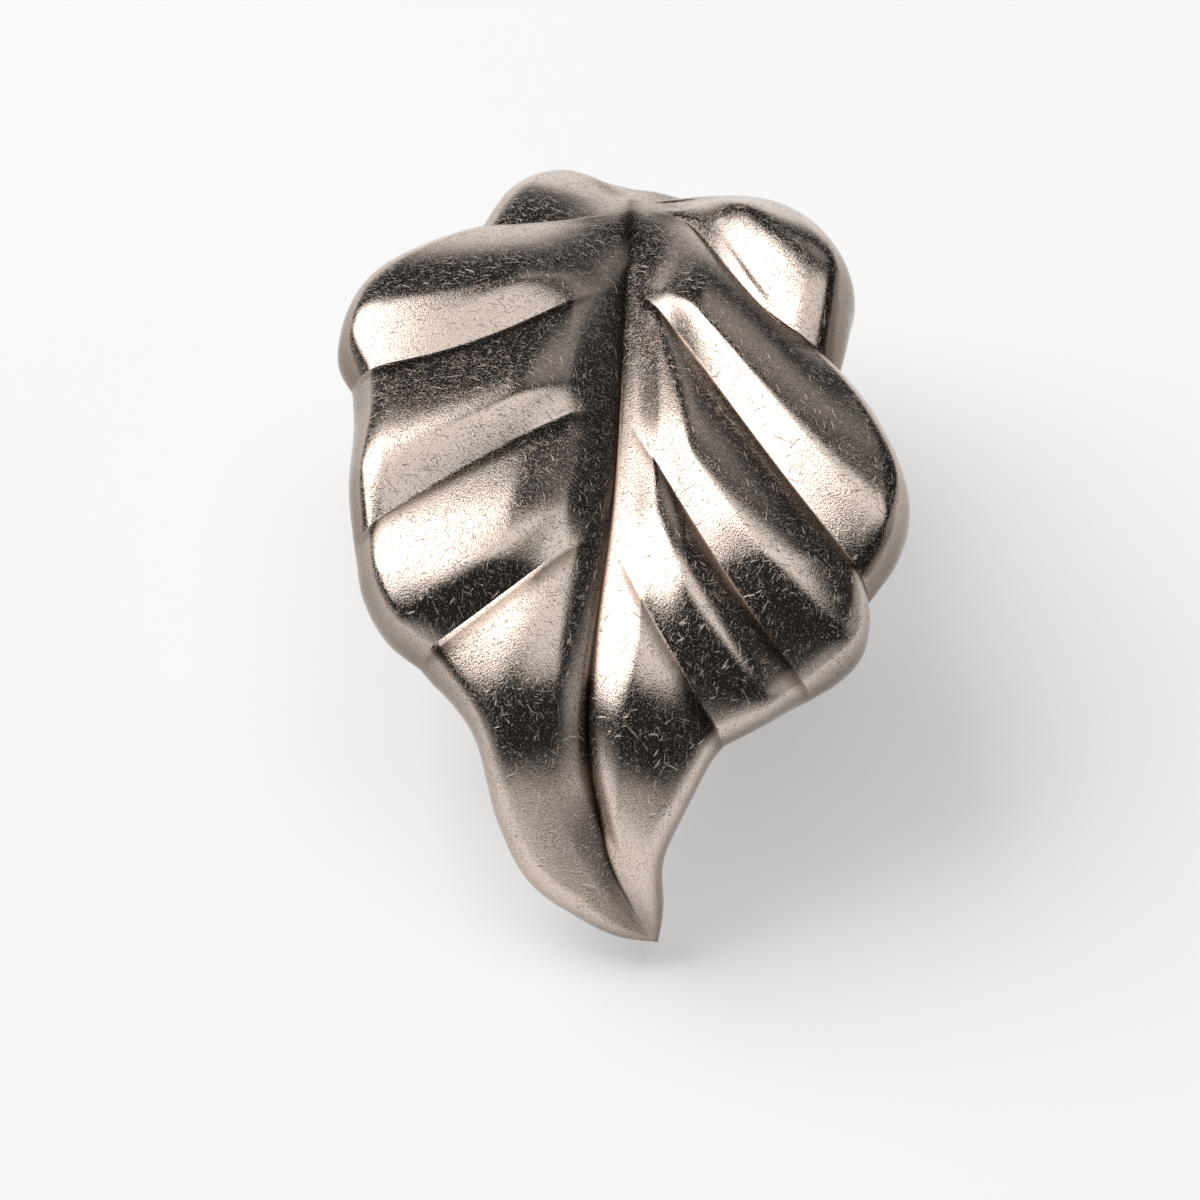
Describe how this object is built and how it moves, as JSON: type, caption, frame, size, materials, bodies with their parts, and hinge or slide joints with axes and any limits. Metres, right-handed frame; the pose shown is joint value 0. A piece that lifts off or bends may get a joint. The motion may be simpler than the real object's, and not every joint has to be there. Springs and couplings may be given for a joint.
{
  "type": "leaf-shaped cabinet pull",
  "caption": "Leaf-shaped pull for a cabinet door or drawer, cast in one piece with puffed panels between its veins, an arched back for the fingers and a short tapped post.",
  "frame": {"origin": "middle of the leaf's footprint on the door face, on the axis of the post", "axes": "+Z away from the door face, -Y towards the tip of the leaf, +X to the right of the leaf seen from the front"},
  "size_m": [0.0372, 0.0582, 0.0218],
  "materials": {
    "antique_nickel": "tumbled antique nickel, polished on the high spots and darker in the grooves"
  },
  "bodies": {
    "root": {"leaf_casting": "antique_nickel"}
  },
  "joints": []
}
